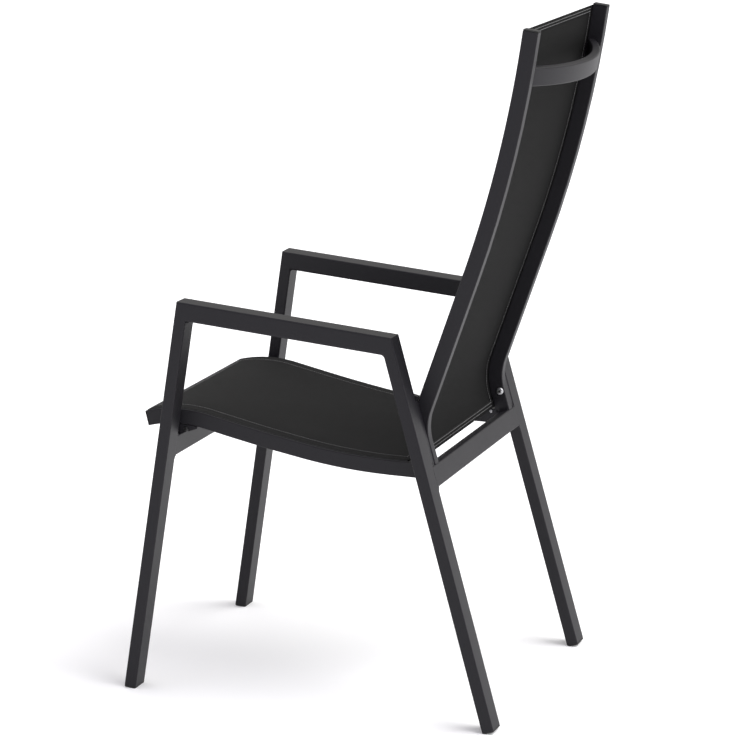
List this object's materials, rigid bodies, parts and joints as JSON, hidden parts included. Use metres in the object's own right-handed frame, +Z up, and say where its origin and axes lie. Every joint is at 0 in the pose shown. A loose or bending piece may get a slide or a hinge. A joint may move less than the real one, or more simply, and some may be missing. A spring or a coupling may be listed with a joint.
{
  "type": "patio armchair",
  "caption": "High-back patio armchair with splayed rectangular-tube side frames, bent back rails, a bowed handle behind the top and a dark woven sling stretched over the seat and the back.",
  "frame": {"origin": "on the floor, at the middle of the chair's bounding box seen from above", "axes": "+Z up, the front of the chair faces -Y, the sitter's left is +X; the chair is symmetric about X = 0"},
  "size_m": [0.5572, 0.6793, 1.1241],
  "materials": {
    "frame_powder_coat": "fine matt anthracite powder coat on aluminium tube",
    "sling_fabric": "near-black woven sling cloth of coated yarn",
    "black_plastic": "matt black moulded plastic",
    "bright_steel": "bright zinc-plated steel",
    "black_steel": "black oxide on steel"
  },
  "bodies": {
    "root": {"left_front_leg": "frame_powder_coat", "right_front_leg": "frame_powder_coat", "left_armrest": "frame_powder_coat", "right_armrest": "frame_powder_coat", "left_rear_leg": "frame_powder_coat", "right_rear_leg": "frame_powder_coat", "left_front_glide": "black_plastic", "right_front_glide": "black_plastic", "left_rear_glide": "black_plastic", "right_rear_glide": "black_plastic", "left_back_rail": "frame_powder_coat", "right_back_rail": "frame_powder_coat", "left_back_rail_cap": "black_plastic", "right_back_rail_cap": "black_plastic", "left_seat_rail": "frame_powder_coat", "right_seat_rail": "frame_powder_coat", "left_seat_rail_cap": "black_plastic", "right_seat_rail_cap": "black_plastic", "left_back_welt": "black_plastic", "right_back_welt": "black_plastic", "left_seat_welt": "black_plastic", "right_seat_welt": "black_plastic", "left_back_bolt": "bright_steel", "right_back_bolt": "bright_steel", "left_back_spacer": "frame_powder_coat", "right_back_spacer": "frame_powder_coat", "left_rivet_nut": "bright_steel", "right_rivet_nut": "bright_steel", "left_seat_tongue": "frame_powder_coat", "right_seat_tongue": "frame_powder_coat", "left_seat_screw": "bright_steel", "right_seat_screw": "bright_steel", "left_crossbar_lug": "frame_powder_coat", "right_crossbar_lug": "frame_powder_coat", "left_seat_lug": "frame_powder_coat", "right_seat_lug": "frame_powder_coat", "left_lug_bolt": "black_steel", "right_lug_bolt": "black_steel", "left_lug_nut": "black_steel", "right_lug_nut": "black_steel", "front_crossbar": "frame_powder_coat", "rear_crossbar": "frame_powder_coat", "back_handle": "frame_powder_coat", "seat_spreader": "frame_powder_coat", "back_sling": "sling_fabric", "seat_sling": "sling_fabric"}
  },
  "joints": []
}
